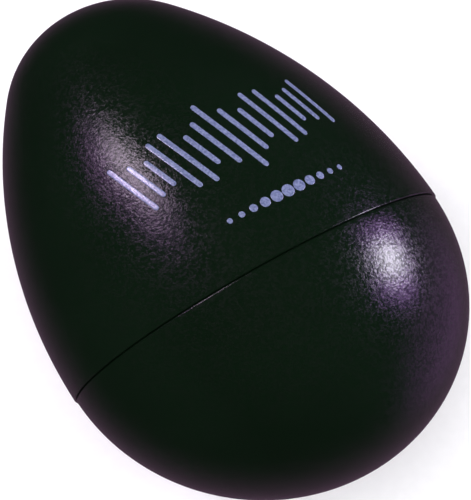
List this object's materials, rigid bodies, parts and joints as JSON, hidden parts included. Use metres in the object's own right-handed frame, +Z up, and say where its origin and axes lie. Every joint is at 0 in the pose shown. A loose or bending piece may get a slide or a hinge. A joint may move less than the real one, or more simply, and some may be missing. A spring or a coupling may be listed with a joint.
{
  "type": "egg shaker",
  "caption": "Hollow two-piece egg-shaped shaker, lap-jointed at its widest section and partly filled with loose steel shot.",
  "frame": {"origin": "on the table under the middle of the egg's length, the egg lying on its side", "axes": "+X along the egg's long axis towards its narrow end, +Z up, +Y completing a right-handed frame"},
  "size_m": [0.057, 0.0424, 0.0425],
  "materials": {
    "shell_plastic": "fine moulded grain with a soft sheen",
    "steel_shot": "tumbled"
  },
  "bodies": {
    "shell": {"upper_shell": "shell_plastic", "lower_shell": "shell_plastic"},
    "shot_01": {"shot_01": "steel_shot"},
    "shot_02": {"shot_02": "steel_shot"},
    "shot_03": {"shot_03": "steel_shot"},
    "shot_04": {"shot_04": "steel_shot"},
    "shot_05": {"shot_05": "steel_shot"},
    "shot_06": {"shot_06": "steel_shot"},
    "shot_07": {"shot_07": "steel_shot"},
    "shot_08": {"shot_08": "steel_shot"},
    "shot_09": {"shot_09": "steel_shot"},
    "shot_10": {"shot_10": "steel_shot"},
    "shot_11": {"shot_11": "steel_shot"},
    "shot_12": {"shot_12": "steel_shot"},
    "shot_13": {"shot_13": "steel_shot"},
    "shot_14": {"shot_14": "steel_shot"},
    "shot_15": {"shot_15": "steel_shot"},
    "shot_16": {"shot_16": "steel_shot"},
    "shot_17": {"shot_17": "steel_shot"},
    "shot_18": {"shot_18": "steel_shot"},
    "shot_19": {"shot_19": "steel_shot"},
    "shot_20": {"shot_20": "steel_shot"},
    "shot_21": {"shot_21": "steel_shot"},
    "shot_22": {"shot_22": "steel_shot"},
    "shot_23": {"shot_23": "steel_shot"},
    "shot_24": {"shot_24": "steel_shot"},
    "shot_25": {"shot_25": "steel_shot"},
    "shot_26": {"shot_26": "steel_shot"},
    "shot_27": {"shot_27": "steel_shot"},
    "shot_28": {"shot_28": "steel_shot"}
  },
  "joints": [
    {"name": "shot_01_throw", "type": "slide", "parent": "shell", "child": "shot_01", "axis": [0, 0, 1], "range_m": [0, 0.03025]},
    {"name": "shot_02_throw", "type": "slide", "parent": "shell", "child": "shot_02", "axis": [0, 0, 1], "range_m": [0, 0.0296]},
    {"name": "shot_03_throw", "type": "slide", "parent": "shell", "child": "shot_03", "axis": [0, 0, 1], "range_m": [0, 0.02783]},
    {"name": "shot_04_throw", "type": "slide", "parent": "shell", "child": "shot_04", "axis": [0, 0, 1], "range_m": [0, 0.02483]},
    {"name": "shot_05_throw", "type": "slide", "parent": "shell", "child": "shot_05", "axis": [0, 0, 1], "range_m": [0, 0.0307]},
    {"name": "shot_06_throw", "type": "slide", "parent": "shell", "child": "shot_06", "axis": [0, 0, 1], "range_m": [0, 0.03306]},
    {"name": "shot_07_throw", "type": "slide", "parent": "shell", "child": "shot_07", "axis": [0, 0, 1], "range_m": [0, 0.03308]},
    {"name": "shot_08_throw", "type": "slide", "parent": "shell", "child": "shot_08", "axis": [0, 0, 1], "range_m": [0, 0.03199]},
    {"name": "shot_09_throw", "type": "slide", "parent": "shell", "child": "shot_09", "axis": [0, 0, 1], "range_m": [0, 0.02988]},
    {"name": "shot_10_throw", "type": "slide", "parent": "shell", "child": "shot_10", "axis": [0, 0, 1], "range_m": [0, 0.02665]},
    {"name": "shot_11_throw", "type": "slide", "parent": "shell", "child": "shot_11", "axis": [0, 0, 1], "range_m": [0, 0.02213]},
    {"name": "shot_12_throw", "type": "slide", "parent": "shell", "child": "shot_12", "axis": [0, 0, 1], "range_m": [0, 0.0332]},
    {"name": "shot_13_throw", "type": "slide", "parent": "shell", "child": "shot_13", "axis": [0, 0, 1], "range_m": [0, 0.03419]},
    {"name": "shot_14_throw", "type": "slide", "parent": "shell", "child": "shot_14", "axis": [0, 0, 1], "range_m": [0, 0.03362]},
    {"name": "shot_15_throw", "type": "slide", "parent": "shell", "child": "shot_15", "axis": [0, 0, 1], "range_m": [0, 0.03207]},
    {"name": "shot_16_throw", "type": "slide", "parent": "shell", "child": "shot_16", "axis": [0, 0, 1], "range_m": [0, 0.02951]},
    {"name": "shot_17_throw", "type": "slide", "parent": "shell", "child": "shot_17", "axis": [0, 0, 1], "range_m": [0, 0.02583]},
    {"name": "shot_18_throw", "type": "slide", "parent": "shell", "child": "shot_18", "axis": [0, 0, 1], "range_m": [0, 0.0307]},
    {"name": "shot_19_throw", "type": "slide", "parent": "shell", "child": "shot_19", "axis": [0, 0, 1], "range_m": [0, 0.03306]},
    {"name": "shot_20_throw", "type": "slide", "parent": "shell", "child": "shot_20", "axis": [0, 0, 1], "range_m": [0, 0.03308]},
    {"name": "shot_21_throw", "type": "slide", "parent": "shell", "child": "shot_21", "axis": [0, 0, 1], "range_m": [0, 0.03199]},
    {"name": "shot_22_throw", "type": "slide", "parent": "shell", "child": "shot_22", "axis": [0, 0, 1], "range_m": [0, 0.02988]},
    {"name": "shot_23_throw", "type": "slide", "parent": "shell", "child": "shot_23", "axis": [0, 0, 1], "range_m": [0, 0.02665]},
    {"name": "shot_24_throw", "type": "slide", "parent": "shell", "child": "shot_24", "axis": [0, 0, 1], "range_m": [0, 0.02213]},
    {"name": "shot_25_throw", "type": "slide", "parent": "shell", "child": "shot_25", "axis": [0, 0, 1], "range_m": [0, 0.03025]},
    {"name": "shot_26_throw", "type": "slide", "parent": "shell", "child": "shot_26", "axis": [0, 0, 1], "range_m": [0, 0.0296]},
    {"name": "shot_27_throw", "type": "slide", "parent": "shell", "child": "shot_27", "axis": [0, 0, 1], "range_m": [0, 0.02783]},
    {"name": "shot_28_throw", "type": "slide", "parent": "shell", "child": "shot_28", "axis": [0, 0, 1], "range_m": [0, 0.02483]}
  ]
}
